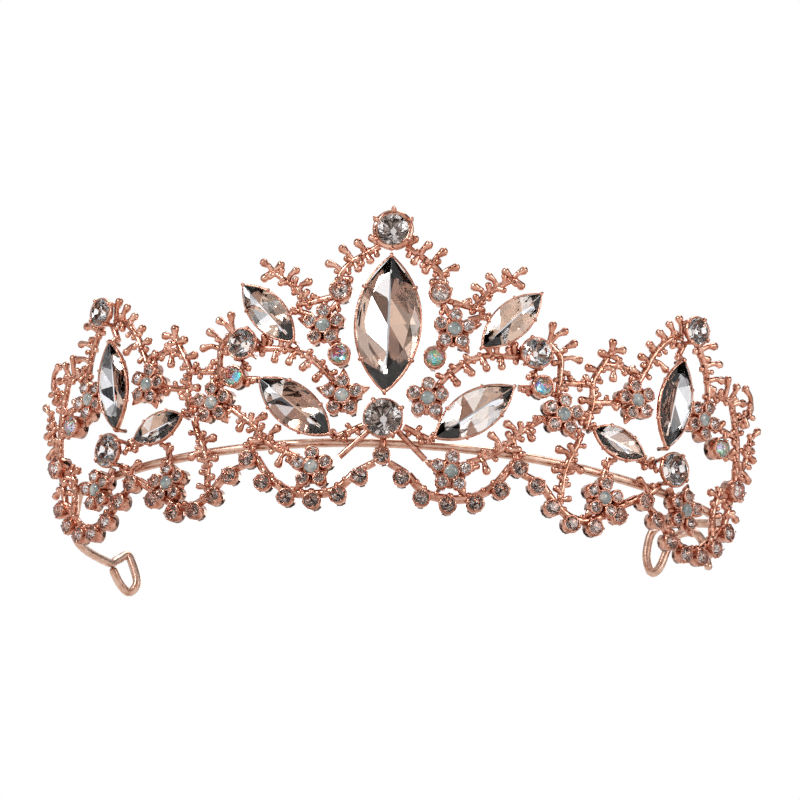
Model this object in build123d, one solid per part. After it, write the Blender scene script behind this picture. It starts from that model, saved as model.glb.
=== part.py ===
from build123d import *
from build123d.topology import SkipClean
import math
import os

# A bridal tiara: cast sprays, stamped settings and set crystals, soldered to one base wire.
# Every place on the tiara is given on its band: along the band's arc from the middle, up its
# leaning face, and out from the middle surface of the castings. The right half is built and
# the left half is its mirror. All sizes are in millimetres, and angles in degrees.

BAND_RADIUS = 83.0        # plan radius of the band at its foot
BAND_LEAN = 10.0          # outward lean of the band
STEM_RADIUS = 0.8         # cast stem
TWIG_RADIUS = 0.5         # cast twig that carries a bud
BUD_RADIUS = 0.95         # bud at the end of a twig
JOINT_SWELL = 1.05        # a corner of a bar is a little fuller than the bar
BACK = -0.8               # back face of the castings, out from their middle surface

WIRE_RADIUS = 0.9
WIRE_UP = 14.3            # how far up the band the base wire runs
WIRE_OUT = -1.5           # behind the castings, let into their backs
WIRE_ALONG = 72.0         # half the arc that the wire follows before its ends are bent in
LEFT_END = [              # open hook, as points of the wire
    (-65.8, 40, 8.4), (-61, 52, 8.3), (-59.3, 55, 10), (-57.6, 57, 11.9), (-56.2, 57, 9.6),
    (-55, 57, 5.6), (-56.5, 57, 3.5), (-58.4, 56, 5), (-59.9, 55, 7.5),
]
RIGHT_END = [             # loop with a stub, as points of the wire
    (66, 39, 16.6), (58.5, 46, 19), (53.1, 50, 19.2), (51.6, 50, 14), (52.2, 50, 10.4),
    (53.2, 50, 9.4), (54.6, 50, 11.1), (56, 50, 15.2), (57.6, 50.5, 18), (60.4, 50.5, 19),
    (62.8, 50.5, 17.5), (64.4, 50, 11.3),
]

BEZEL_WALL = 0.6          # wall of a marquise setting
COLLET_WALL = 0.5         # wall of a round setting
CLAW_RADIUS = 0.45
STONE_GIRDLE = 0.35       # height of a stone's girdle

CENTRE_MARQUISE = (27.6, 12.8)
UPPER_MARQUISE = (16.4, 6.8)
LOWER_MARQUISE = (18.8, 8.0)
TALL_MARQUISE = (18.6, 7.8)
SMALL_MARQUISE = (12.2, 5.8)
CROWN_STONE = 6.4
CENTRE_ROUND = 7.5
LARGE_ROUND = 6.0
SIDE_ROUND = 6.6
SIDE_TOP_ROUND = 5.6
ACCENT_STONE = 3.9
SCALLOP_STONE = 2.9
PETAL_STONE = 2.35
OPAL = 3.0
PETAL_RING = 2.85         # radius of the ring of five petals
SCALLOP_CUP = 1.9         # radius of a cast cup on a scallop
HIGH_GIRDLE = 2.6         # girdle of the large stones, out from the castings
LOW_GIRDLE = 2.1          # girdle of the smaller round stones
PETAL_GIRDLE = 1.8        # girdle of a petal's stone
OPAL_SEAT = 1.7           # flat back of a cabochon
CUP_GIRDLE = 1.5          # girdle of a scallop's stone
CROWN_WALL = 0.9          # the collet at the top is heavier than the others
SMALLEST_PIECE = 0.02     # cubic millimetres: less than this is a crumb of a cut

CENTRE_PLACE = (0.0, 37.5)
UPPER_PLACE, UPPER_TURN = (21.9, 40.3), 49.2
LOWER_PLACE, LOWER_TURN = (16.6, 20.9), 39.3
TALL_PLACE, TALL_TURN = (55.8, 31.5), 87.0
SMALL_PLACE, SMALL_TURN = (45.0, 20.2), -13.0
CROWN_PLACE = (0.0, 56.8)
CENTRE_ROUND_PLACE = (0.0, 18.4)
LARGE_ROUND_PLACE = (27.0, 34.6)
SIDE_ROUND_PLACE = (57.9, 18.4)
SIDE_TOP_PLACE = (58.3, 47.8)
CENTRE_CUP = (0.0, 11.2)
FLOWERS = {               # place on the band, and the turn of the first petal
    "upper": (11.9, 37.5, 90),
    "lower": (7.9, 23.1, 90),
    "big_round": (33.6, 23.6, 90),
    "first_scallop": (13.3, 8.8, 90),
    "second_scallop": (43.9, 8.8, 90),
    "inner_side": (48.1, 30.1, 36),
    "third_scallop": (62.9, 11.6, 90),
    "outer_side": (63.7, 31.0, 0),
}
AURORA_STONES = [(8.7, 31.4), (29.0, 28.3), (69.0, 26.8)]
CLEAR_ACCENTS = [(8.9, 44.5), (75.4, 20.0)]
FIRST_SCALLOP = [(4.0, 6.9), (8.0, 3.1), (13.1, 2.1), (18.4, 3.0), (23.1, 6.3), (26.3, 11.3)]
SECOND_SCALLOP = [(30.1, 8.3), (33.6, 4.6), (37.9, 2.2), (42.9, 2.6), (47.8, 6.2), (53.3, 10.6)]
THIRD_SCALLOP = [(56.6, 7.6), (60.6, 4.4), (64.8, 3.0), (69.2, 3.8), (72.9, 6.8), (75.6, 11.0)]
RAIL_INSET = 1.5          # how far the rail of a scallop lies inside its line of cups

SPRAYS = {                # stems, each a list of places, and the places of their buds
    "crest_spray": (
        [
            [(2.4, 54.0), (5.1, 52.2), (7.7, 50.3), (9.3, 48.0), (9.6, 45.6)],
            [(9.4, 42.8), (11.0, 40.6)],
            [(10.6, 43.6), (15.6, 42.4)],
        ],
        [
            (3.8, 55.6), (6.3, 54.6), (9.0, 53.4), (11.4, 50.4), (3.9, 50.9), (6.0, 49.2), (7.5, 46.9),
        ],
    ),
    "upper_spray": (
        [
            [(14.9, 41.6), (17.1, 45.4), (19.9, 47.9), (21.8, 49.4)],
            [(14.5, 40.0), (18.4, 41.6)],
        ],
        [
            (23.6, 51.5), (20.3, 50.7), (17.4, 49.3), (23.4, 48.2), (15.0, 46.8),
        ],
    ),
    "middle_spray": (
        [
            [(26.6, 34.2), (22.1, 33.7), (18.2, 33.2), (14.7, 31.5), (11.4, 28.4), (9.3, 25.6)],
            [(8.7, 31.4), (11.9, 36.6)],
        ],
        [
            (21.2, 31.2), (18.4, 30.5), (15.7, 29.2), (13.2, 26.8), (19.8, 35.6), (23.2, 36.0),
        ],
    ),
    "lower_spray": (
        [
            [(16.4, 11.2), (21.4, 13.7), (23.9, 16.1), (25.4, 18.2), (30.5, 22.6)],
            [(24.6, 16.9), (26.3, 12.2)],
            [(3.8, 17.3), (9.4, 14.9)],
        ],
        [
            (23.2, 19.9), (20.4, 17.2), (25.8, 15.0), (20.1, 9.9), (28.2, 17.8),
        ],
    ),
    "round_spray": (
        [
            [(29.8, 37.6), (32.1, 35.6), (32.5, 33.3), (32.6, 30.3), (32.4, 26.8)],
            [(24.8, 27.6), (28.6, 28.2)],
            [(27.2, 31.6), (28.4, 29.2)],
        ],
        [
            (30.0, 41.3), (32.4, 40.6), (34.4, 38.5), (35.8, 35.4),
        ],
    ),
    "boundary_spray": (
        [
            [(38.9, 21.8), (39.7, 27.6), (39.2, 31.4), (40.0, 34.0), (41.0, 36.0), (42.0, 38.4)],
            [(39.3, 31.3), (36.1, 30.7), (32.6, 30.2)],
            [(39.6, 27.6), (45.6, 29.2)],
            [(41.2, 35.9), (45.2, 36.3), (48.8, 34.8)],
            [(35.6, 6.0), (35.5, 10.0), (36.0, 14.0), (37.3, 17.5), (38.4, 21.0)],
            [(36.4, 23.8), (39.2, 24.2)],
            [(44.0, 12.6), (44.6, 17.4)],
        ],
        [
            (42.0, 40.6), (40.0, 37.9), (44.2, 39.6), (37.8, 34.3), (43.0, 33.4), (37.2, 27.4),
            (33.4, 12.4), (33.8, 16.6), (38.6, 13.4),
        ],
    ),
    "side_inner_spray": (
        [
            [(56.6, 46.6), (53.8, 44.6), (51.2, 40.8), (50.0, 37.4), (48.8, 34.4), (48.2, 32.4)],
            [(57.6, 45.4), (56.4, 41.6)],
            [(56.6, 15.0), (54.2, 12.0)],
            [(51.0, 18.8), (55.0, 18.6)],
            [(59.2, 15.4), (60.6, 13.6)],
        ],
        [
            (55.2, 49.6), (53.2, 47.8), (51.4, 45.4), (49.6, 42.4), (48.2, 39.4), (53.8, 38.4),
            (46.6, 36.2), (51.6, 14.6),
        ],
    ),
    "side_outer_spray": (
        [
            [(60.4, 46.4), (62.6, 43.2), (64.4, 39.6), (65.2, 36.4), (65.0, 33.6)],
            [(75.2, 11.6), (76.0, 17.6), (76.2, 23.0), (75.2, 29.0), (73.4, 34.0), (71.2, 38.2)],
            [(66.8, 31.4), (74.6, 31.0)],
            [(70.6, 26.8), (75.6, 26.8)],
            [(65.4, 37.2), (69.4, 37.6), (71.6, 37.4)],
            [(72.4, 9.4), (71.6, 14.0), (72.4, 19.4)],
            [(76.2, 23.0), (78.4, 27.4), (78.8, 32.6)],
            [(73.4, 34.0), (76.4, 36.4), (77.4, 38.6)],
        ],
        [
            (61.8, 49.2), (64.2, 47.0), (66.2, 43.8), (67.4, 40.8), (71.6, 41.0), (74.0, 38.4),
            (76.0, 34.6), (77.6, 30.2), (78.0, 14.8), (79.6, 23.8), (80.0, 28.4), (79.8, 34.6),
            (78.2, 19.4), (74.2, 41.6), (74.0, 16.4), (69.4, 17.6), (69.0, 41.6),
        ],
    ),
}


def seat(along, up, out=0.0, turn=0.0):
    """Plane on the band, its x axis turned from the band's direction, its z axis outwards."""
    angle = along / BAND_RADIUS
    lean = math.radians(BAND_LEAN)
    tangent = Vector(math.cos(angle), math.sin(angle), 0)
    slope = Vector(math.sin(angle) * math.sin(lean), -math.cos(angle) * math.sin(lean), math.cos(lean))
    normal = tangent.cross(slope)
    foot = Vector(BAND_RADIUS * math.sin(angle), BAND_RADIUS * (1 - math.cos(angle)), 0)
    x_dir = tangent * math.cos(math.radians(turn)) + slope * math.sin(math.radians(turn))
    return Plane(origin=foot + slope * up + normal * out, x_dir=x_dir, z_dir=normal)


def spot(along, up, out=0.0):
    """Point on the band."""
    return seat(along, up, out).origin


def rod(start, end, start_radius, end_radius=None):
    """Round bar from one point to another, tapered when it has two radii."""
    axis = end - start
    plane = Plane(origin=start, z_dir=axis.normalized())
    if end_radius is None:
        return Solid.make_cylinder(start_radius, axis.length, plane)
    return Solid.make_cone(start_radius, end_radius, axis.length, plane)


def ball(centre, radius):
    return Solid.make_sphere(radius, Plane(origin=centre))


def joined(pieces):
    """One fused casting of several solids, as a list of its solids."""
    return pieces[0].fuse(*pieces[1:]).solids()


def bar(start, end, radius, sides=8, past=0.45):
    """Many-sided cast bar that runs a little past both of its points, to close corners."""
    ahead = (end - start).normalized()
    first = start - ahead * radius * past
    plane = Plane(origin=first, z_dir=ahead)
    turns = [2 * math.pi * (i + 0.5) / sides for i in range(sides)]
    corners = [plane.from_local_coords(Vector(radius * math.cos(a), radius * math.sin(a), 0)) for a in turns]
    reach = (end - start).length + 2 * radius * past
    return Solid.extrude(Face(Wire.make_polygon(corners, close=True)), ahead * reach)


def stem(places, radius=STEM_RADIUS, out=0.0):
    """Cast bar through a list of places on the band."""
    points = [spot(along, up, out) for along, up in places]
    return [bar(a, b, radius) for a, b in zip(points, points[1:])]


def nearest(place, path):
    """Place on a path of places that is nearest to a place."""
    found = []
    for (ax, ay), (bx, by) in zip(path, path[1:]):
        run = (bx - ax) ** 2 + (by - ay) ** 2
        share = ((place[0] - ax) * (bx - ax) + (place[1] - ay) * (by - ay)) / run
        share = min(1.0, max(0.0, share))
        near = (ax + share * (bx - ax), ay + share * (by - ay))
        found.append((math.dist(place, near), near))
    return min(found)[1]


def bud(place, path):
    """Six-sided bud on a twig that leaves the stem where it is nearest."""
    root = spot(*nearest(place, path))
    tip = spot(*place, 0.4)
    ahead = (tip - root).normalized()
    twig = bar(root, tip, TWIG_RADIUS, 6)
    return [twig, bar(tip - ahead * 0.4, tip + ahead * 0.5, BUD_RADIUS, 6)]


def spray(stems, buds):
    """Casting of one or more stems with buds on their twigs."""
    pieces = []
    for path in stems:
        pieces += stem(path)
    for place in buds:
        path = min(stems, key=lambda p: math.dist(place, nearest(place, p)))
        pieces += bud(place, path)
    return joined(pieces)


def lens(length, width, height):
    """Closed wire of the pointed oval of a marquise, at a height above its plane."""
    bow = (length ** 2 / 4 + width ** 2 / 4) / width
    half = math.asin(length / 2 / bow)
    steps = [half * (2 * i / 8 - 1) for i in range(9)]
    top = [(bow * math.sin(a), bow * math.cos(a) - bow + width / 2) for a in steps]
    bottom = [(-x, -y) for x, y in top[1:-1]]
    return Wire.make_polygon([(x, y, height) for x, y in top + bottom], close=True)


def marquise_stone(size):
    """Marquise cut: a keel, a girdle and a flat table, lying along x with its girdle at zero."""
    length, width = size
    keel = lens(length * 0.5, width * 0.12, -width * 0.3)
    low_girdle = lens(length, width, 0)
    high_girdle = lens(length, width, STONE_GIRDLE)
    table = lens(length * 0.72, width * 0.6, STONE_GIRDLE + width * 0.16)
    return Solid.make_loft([keel, low_girdle, high_girdle, table], ruled=True)


def round_stone(diameter):
    """Round cut: a pointed pavilion, a girdle and a flat table, with its girdle at zero."""
    radius = diameter / 2
    outline = [
        (0, 0, -0.7 * radius),
        (radius, 0, 0),
        (radius, 0, STONE_GIRDLE),
        (0.6 * radius, 0, STONE_GIRDLE + 0.3 * radius),
        (0, 0, STONE_GIRDLE + 0.3 * radius),
    ]
    return revolve(make_face(Polyline(*outline, close=True)), Axis.Z).solid()


def cabochon(diameter):
    """Opal cabochon: flat back and a low dome of four cones."""
    radius = diameter / 2
    rise = 0.55 * radius
    dome = [(radius * math.cos(a), 0, rise * math.sin(a)) for a in (0, 0.4, 0.8, 1.2)]
    outline = [(0, 0, -0.2), (radius, 0, -0.2)] + dome + [(0, 0, rise)]
    return revolve(make_face(Polyline(*outline, close=True)), Axis.Z).solid()


def claws(plane, places, low, high):
    """Claws that rise beside a stone, each with a rounded tip."""
    pieces = []
    for x, y in places:
        foot = plane.from_local_coords(Vector(x, y, low))
        tip = plane.from_local_coords(Vector(x, y, high))
        pieces += [rod(foot, tip, CLAW_RADIUS), ball(tip, CLAW_RADIUS + 0.12)]
    return pieces


def prism(plane, wire, height):
    """Upright block on a closed wire drawn in a plane's own x and y."""
    return Solid.extrude(Face(wire).moved(plane.location), plane.z_dir * height)


def drilled(pieces, hole):
    """One fused casting with a hole through it, as a list of its solids."""
    return pieces[0].fuse(*pieces[1:]).cut(hole).solids()


def marquise_setting(place, turn, size, girdle):
    """Open-backed bezel of a marquise with a claw at each tip and two along each side."""
    length, width = size
    plane = seat(*place, girdle, turn)
    depth = girdle - BACK
    rim = lens(length + 2.6 * BEZEL_WALL, width + 2 * BEZEL_WALL, -depth)
    outer = prism(plane, rim, depth + STONE_GIRDLE)
    inner = prism(plane, lens(length * 0.86, width * 0.76, -depth - 1), depth + 3)
    tip = length / 2 + 0.1
    side = width / 2 * 0.8 + 0.25
    places = [(tip, 0), (-tip, 0)]
    places += [(x * length * 0.24, y * side) for x in (-1, 1) for y in (-1, 1)]
    return drilled([outer] + claws(plane, places, -depth / 2, STONE_GIRDLE + 0.5), inner)


def round_setting(place, diameter, girdle, claw_count, first=45.0, claw_out=0.15, wall=COLLET_WALL):
    """Open-backed collet of a round stone with claws around it."""
    plane = seat(*place, girdle)
    depth = girdle - BACK
    radius = diameter / 2
    foot = seat(*place, BACK)
    outer = Solid.make_cylinder(radius + wall, depth + STONE_GIRDLE, foot)
    inner = Solid.make_cylinder(radius * 0.72, depth * 2 + 2, seat(*place, BACK - 1))
    angles = [math.radians(first + 360 * i / claw_count) for i in range(claw_count)]
    ring = radius + claw_out
    places = [(ring * math.cos(a), ring * math.sin(a)) for a in angles]
    return drilled([outer] + claws(plane, places, -depth / 2, STONE_GIRDLE + 0.45), inner)


def petal_places(flower):
    """Centres of a flower's five petals, as offsets from its middle."""
    first = FLOWERS[flower][2]
    angles = [math.radians(first + 72 * i) for i in range(5)]
    return [(PETAL_RING * math.cos(a), PETAL_RING * math.sin(a)) for a in angles]


def flower_casting(flower):
    """Five petal cups around an opal cup, on a common disc."""
    along, up, _ = FLOWERS[flower]
    pieces = [
        Solid.make_cylinder(PETAL_RING, 0.8, seat(along, up, BACK)),
        Solid.make_cylinder(OPAL / 2 + 0.2, OPAL_SEAT - BACK, seat(along, up, BACK)),
    ]
    plane = seat(along, up, BACK)
    for x, y in petal_places(flower):
        corner = plane.from_local_coords(Vector(x, y, 0))
        cup = Plane(origin=corner, x_dir=plane.x_dir, z_dir=plane.z_dir)
        pieces.append(Solid.make_cylinder(PETAL_STONE / 2 + 0.3, PETAL_GIRDLE - BACK, cup))
    return joined(pieces)


def petal_stones(flower):
    along, up, _ = FLOWERS[flower]
    plane = seat(along, up, PETAL_GIRDLE)
    stones = []
    for x, y in petal_places(flower):
        corner = plane.from_local_coords(Vector(x, y, 0))
        stones.append(PETAL_PATTERN.moved(Plane(origin=corner, z_dir=plane.z_dir).location))
    return stones


def scallop(cups, centre):
    """Curved rail with a cup for each stone, hung below it."""
    rail = []
    for along, up in cups:
        reach = math.dist((along, up), centre)
        share = RAIL_INSET / reach
        rail.append((along + (centre[0] - along) * share, up + (centre[1] - up) * share))
    pieces = stem(rail)
    pieces += [Solid.make_cylinder(SCALLOP_CUP, CUP_GIRDLE - BACK, seat(*cup, BACK)) for cup in cups]
    return joined(pieces)


def scallop_stones(cups):
    return [CUP_PATTERN.moved(seat(*cup, CUP_GIRDLE).location) for cup in cups]


def boxes_meet(a, b):
    """Whether the boxes around two shapes meet."""
    low_a, high_a = tuple(a.min), tuple(a.max)
    low_b, high_b = tuple(b.min), tuple(b.max)
    return all(low_a[i] <= high_b[i] and low_b[i] <= high_a[i] for i in range(3))


SkipClean.clean = False   # the cut faces are kept as they are, which is much quicker
placed = []               # every solid that later pieces are fitted to, with its box


def fit(solids):
    """Cuts each solid back from those already in place, and puts what is left among them."""
    fitted = []
    for solid in solids:
        box = solid.bounding_box()
        neighbours = [other for other, around in placed if boxes_meet(box, around)]
        left_over = solid.cut(*neighbours).solids() if neighbours else [solid]
        fitted += [piece for piece in left_over if piece.volume > SMALLEST_PIECE]
    for piece in fitted + mirrored(fitted):
        placed.append((piece, piece.bounding_box()))
    return fitted


def mirrored(solids):
    return [solid.mirror(Plane.YZ) for solid in solids]


nodes = {}


def add_middle(name, solids):
    """Piece on the middle line of the tiara."""
    nodes[name] = fit(solids)


def add_pair(name, solids):
    """Piece on the right, and its mirror on the left, as two nodes."""
    solids = fit(solids)
    nodes[name + "_right"] = solids
    nodes[name + "_left"] = mirrored(solids)


def add_group(name, solids):
    """Alike small pieces on both sides, as one node."""
    solids = fit(solids)
    nodes[name] = solids + mirrored(solids)


PETAL_PATTERN = round_stone(PETAL_STONE)
CUP_PATTERN = round_stone(SCALLOP_STONE)
ACCENT_PATTERN = round_stone(ACCENT_STONE)
OPAL_PATTERN = cabochon(OPAL)

# Stones first, because every setting is cut to the stone that it holds.
add_middle("crown_stone", [round_stone(CROWN_STONE).moved(seat(*CROWN_PLACE, HIGH_GIRDLE).location)])
centre_seat = seat(*CENTRE_PLACE, HIGH_GIRDLE, 90)
add_middle("centre_marquise_stone", [marquise_stone(CENTRE_MARQUISE).moved(centre_seat.location)])
round_seat = seat(*CENTRE_ROUND_PLACE, HIGH_GIRDLE)
add_middle("centre_round_stone", [round_stone(CENTRE_ROUND).moved(round_seat.location)])
for name, size, place, turn in [
    ("upper_marquise_stones", UPPER_MARQUISE, UPPER_PLACE, UPPER_TURN),
    ("lower_marquise_stones", LOWER_MARQUISE, LOWER_PLACE, LOWER_TURN),
    ("tall_side_marquise_stones", TALL_MARQUISE, TALL_PLACE, TALL_TURN),
    ("small_side_marquise_stones", SMALL_MARQUISE, SMALL_PLACE, SMALL_TURN),
]:
    add_group(name, [marquise_stone(size).moved(seat(*place, HIGH_GIRDLE, turn).location)])
for name, diameter, place in [
    ("large_round_stones", LARGE_ROUND, LARGE_ROUND_PLACE),
    ("side_round_stones", SIDE_ROUND, SIDE_ROUND_PLACE),
    ("side_top_stones", SIDE_TOP_ROUND, SIDE_TOP_PLACE),
]:
    add_group(name, [round_stone(diameter).moved(seat(*place, HIGH_GIRDLE).location)])
aurora = [ACCENT_PATTERN.moved(seat(*place, LOW_GIRDLE).location) for place in AURORA_STONES]
add_group("aurora_stones", aurora)
clear = [ACCENT_PATTERN.moved(seat(*place, LOW_GIRDLE).location) for place in CLEAR_ACCENTS]
add_group("clear_accent_stones", clear)
add_group("petal_stones", [stone for flower in FLOWERS for stone in petal_stones(flower)])
opals = [OPAL_PATTERN.moved(seat(along, up, OPAL_SEAT).location) for along, up, _ in FLOWERS.values()]
add_group("opal_cabochons", opals)
right_cups = FIRST_SCALLOP + SECOND_SCALLOP + THIRD_SCALLOP
middle_stone = scallop_stones([CENTRE_CUP])
right_stones = fit(scallop_stones(right_cups))
nodes["scallop_stones"] = fit(middle_stone) + right_stones + mirrored(right_stones)

# The base wire runs in an arc behind the castings. Its ends are bent in by hand: the left one
# ends in an open hook and the right one in a loop, for hairpins or a ribbon.
wire_start = spot(-WIRE_ALONG, WIRE_UP, WIRE_OUT)
wire_middle = spot(0, WIRE_UP, WIRE_OUT)
wire_end = spot(WIRE_ALONG, WIRE_UP, WIRE_OUT)
wire_arc = ThreePointArc(wire_start, wire_middle, wire_end)
wire_band = sweep(Plane(origin=wire_start, z_dir=wire_arc % 0) * Circle(WIRE_RADIUS), path=wire_arc)


def bent_end(start, points):
    """Hand-bent end of the wire through a list of points."""
    route = [start] + [Vector(*point) for point in points]
    pieces = [ball(point, WIRE_RADIUS * JOINT_SWELL) for point in route]
    return pieces + [rod(a, b, WIRE_RADIUS) for a, b in zip(route, route[1:])]


bent_ends = bent_end(wire_start, LEFT_END) + bent_end(wire_end, RIGHT_END)
nodes["base_wire"] = fit(joined([wire_band.solid()] + bent_ends))

# Settings.
neck = stem([(0, 52.0), (0, 54.5)])
crown_collet = round_setting(CROWN_PLACE, CROWN_STONE, HIGH_GIRDLE, 6, 30, 1.0, CROWN_WALL)
add_middle("crown_setting", joined(crown_collet + neck))
add_middle("centre_marquise_setting", marquise_setting(CENTRE_PLACE, 90, CENTRE_MARQUISE, HIGH_GIRDLE))
add_middle("centre_round_setting", round_setting(CENTRE_ROUND_PLACE, CENTRE_ROUND, HIGH_GIRDLE, 4))
add_group("flower_castings", [solid for flower in FLOWERS for solid in flower_casting(flower)])
for name, place, turn, size in [
    ("upper_marquise_setting", UPPER_PLACE, UPPER_TURN, UPPER_MARQUISE),
    ("lower_marquise_setting", LOWER_PLACE, LOWER_TURN, LOWER_MARQUISE),
    ("tall_side_marquise_setting", TALL_PLACE, TALL_TURN, TALL_MARQUISE),
    ("small_side_marquise_setting", SMALL_PLACE, SMALL_TURN, SMALL_MARQUISE),
]:
    add_pair(name, marquise_setting(place, turn, size, HIGH_GIRDLE))
add_pair("large_round_setting", round_setting(LARGE_ROUND_PLACE, LARGE_ROUND, HIGH_GIRDLE, 6))
add_pair("side_round_setting", round_setting(SIDE_ROUND_PLACE, SIDE_ROUND, HIGH_GIRDLE, 4))
add_pair("side_top_setting", round_setting(SIDE_TOP_PLACE, SIDE_TOP_ROUND, HIGH_GIRDLE, 4))
accents = [round_setting(place, ACCENT_STONE, LOW_GIRDLE, 4) for place in AURORA_STONES + CLEAR_ACCENTS]
add_group("accent_settings", [solid for setting in accents for solid in setting])

# Scallops along the foot, which the tiara stands on.
first_link = stem([(1.4, 10.0), (4.6, 8.2)], 0.6)
add_pair("first_scallop", joined(scallop(FIRST_SCALLOP, (13.2, 13.0)) + first_link))
second_link = stem([(26.8, 10.6), (30.6, 9.4)], 0.6)
add_pair("second_scallop", joined(scallop(SECOND_SCALLOP, (40.2, 13.0)) + second_link))
third_link = stem([(54.0, 10.4), (57.4, 8.8)], 0.6)
add_pair("third_scallop", joined(scallop(THIRD_SCALLOP, (66.4, 13.5)) + third_link))
centre_arms = stem([(2.0, 15.2), (5.0, 13.4), (8.6, 11.2)], 0.55)
centre_arms += stem([(-2.0, 15.2), (-5.0, 13.4), (-8.6, 11.2)], 0.55)
centre_cup = Solid.make_cylinder(SCALLOP_CUP, CUP_GIRDLE - BACK, seat(*CENTRE_CUP, BACK))
add_middle("centre_stem", joined(centre_arms + stem([(0, 15.5), (0, 11.2)]) + [centre_cup]))

# Sprays that join the settings to each other.
for name, (stems, buds) in SPRAYS.items():
    add_pair(name, spray(stems, buds))

# The finished tiara stands on its scallops, with its origin under the middle of its box.
every_solid = [solid for solids in nodes.values() for solid in solids]
whole = Compound(every_solid).bounding_box()
to_origin = Location((-(whole.min.X + whole.max.X) / 2, -(whole.min.Y + whole.max.Y) / 2, -whole.min.Z))
os.makedirs("parts", exist_ok=True)
for name, solids in nodes.items():
    export_step(Compound([solid.moved(to_origin) for solid in solids]), f"parts/{name}.step")
print(len(nodes), "nodes", len(every_solid), "solids")
print("size", whole.size, "moved by", to_origin.position)
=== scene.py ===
# %% [markdown]
# # A bridal tiara, piece by piece
# The real tiara is a curved, slightly leaning band. Small castings in rose-gold plated zinc alloy
# hold cut crystals and opal glass, and everything is soldered to one wire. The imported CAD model
# gives the size and the place of every piece. This script makes the pieces as they look.

# %% The frame
import math
import random

import bpy
import numpy as np
from mathutils import Matrix, Vector


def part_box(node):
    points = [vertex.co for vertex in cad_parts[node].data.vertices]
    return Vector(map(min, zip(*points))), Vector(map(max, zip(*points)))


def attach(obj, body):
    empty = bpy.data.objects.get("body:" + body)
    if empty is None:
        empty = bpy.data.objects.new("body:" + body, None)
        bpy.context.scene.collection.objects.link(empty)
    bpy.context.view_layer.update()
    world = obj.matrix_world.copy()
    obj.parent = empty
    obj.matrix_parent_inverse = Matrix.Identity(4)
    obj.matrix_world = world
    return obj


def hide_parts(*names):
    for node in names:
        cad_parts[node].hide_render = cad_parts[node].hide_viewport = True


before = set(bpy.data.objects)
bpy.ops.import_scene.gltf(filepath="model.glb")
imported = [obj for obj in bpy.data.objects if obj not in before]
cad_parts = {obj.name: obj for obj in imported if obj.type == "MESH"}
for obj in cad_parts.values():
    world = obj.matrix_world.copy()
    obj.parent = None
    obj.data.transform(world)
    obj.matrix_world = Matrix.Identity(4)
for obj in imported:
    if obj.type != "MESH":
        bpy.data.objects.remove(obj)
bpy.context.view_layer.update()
print("CAD nodes:", len(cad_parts))

# %% [markdown]
# ## Places on the band
# A jeweller lays a tiara out flat and then bends it. So every place here is given flat, in
# millimetres: along the band from its middle, up its leaning face, and out from the middle surface
# of the castings. One function bends that flat layout onto the real band.

# %% Band
MM = 0.001
BAND_RADIUS = 83.0
BAND_LEAN = math.radians(10.0)
WIRE_FRONT = -1.906                      # front of the base wire in the flat layout's own frame
# The layout is moved to where the CAD has the wire, and up until the lowest cups touch the floor.
SHIFT = Vector((0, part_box("base_wire")[0].y - WIRE_FRONT * MM, 0.0635 * MM))


def seat(along, up, out=0.0, turn=0.0):
    """Matrix of a place on the band: x along it (turned), y up its face, z outwards."""
    sine, cosine = math.sin(along / BAND_RADIUS), math.cos(along / BAND_RADIUS)
    tangent = Vector((cosine, sine, 0))
    slope = Vector((sine * math.sin(BAND_LEAN), -cosine * math.sin(BAND_LEAN), math.cos(BAND_LEAN)))
    normal = tangent.cross(slope)
    foot = Vector((BAND_RADIUS * sine, BAND_RADIUS * (1 - cosine), 0))
    place = (foot + slope * up + normal * out) * MM + SHIFT
    x_axis = tangent * math.cos(turn) + slope * math.sin(turn)
    y_axis = normal.cross(x_axis)
    return Matrix.Translation(place) @ Matrix((x_axis, y_axis, normal)).transposed().to_4x4()


def spot(along, up, out=0.0):
    return seat(along, up, out).translation


print("band foot at", tuple(round(v, 4) for v in spot(0, 0)))

# %% [markdown]
# ## Nodes and colours
# Materials and geometry trees are both made of nodes. One helper adds a node with its settings and
# links, and one function turns an sRGB hex colour into the linear numbers that shaders use.


# %% Helpers
def linear(code):
    """Linear colour of an sRGB hex code."""
    channels = [int(code[i:i + 2], 16) / 255 for i in (1, 3, 5)]
    return (*[c / 12.92 if c <= 0.04045 else ((c + 0.055) / 1.055) ** 2.4 for c in channels], 1.0)


def add_node(tree, kind, inputs=None, **settings):
    """One node, its properties set, and its inputs given a value or linked to a socket."""
    made = tree.nodes.new(kind)
    for name, value in settings.items():
        setattr(made, name, value)
    for key, value in (inputs or {}).items():
        if isinstance(value, bpy.types.NodeSocket):
            tree.links.new(value, made.inputs[key])
        else:
            made.inputs[key].default_value = value
    return made


def ramp(tree, factor, stops, smooth=True):
    """Colour ramp through a list of (place, hex colour)."""
    made = add_node(tree, "ShaderNodeValToRGB", {"Fac": factor})
    made.color_ramp.interpolation = "LINEAR" if smooth else "CONSTANT"
    while len(made.color_ramp.elements) < len(stops):
        made.color_ramp.elements.new(1.0)
    for element, (place, code) in zip(made.color_ramp.elements, stops):
        element.position = place
        element.color = linear(code)
    return made.outputs["Color"]


def new_object(name, data):
    """Object in the scene's own collection."""
    made = bpy.data.objects.new(name, data)
    bpy.context.scene.collection.objects.link(made)
    return made


def new_material(name):
    material = bpy.data.materials.new(name)
    material.use_nodes = True
    material.node_tree.nodes.clear()
    return material, material.node_tree


def finish_material(tree, shader):
    add_node(tree, "ShaderNodeOutputMaterial", {"Surface": shader})


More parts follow.
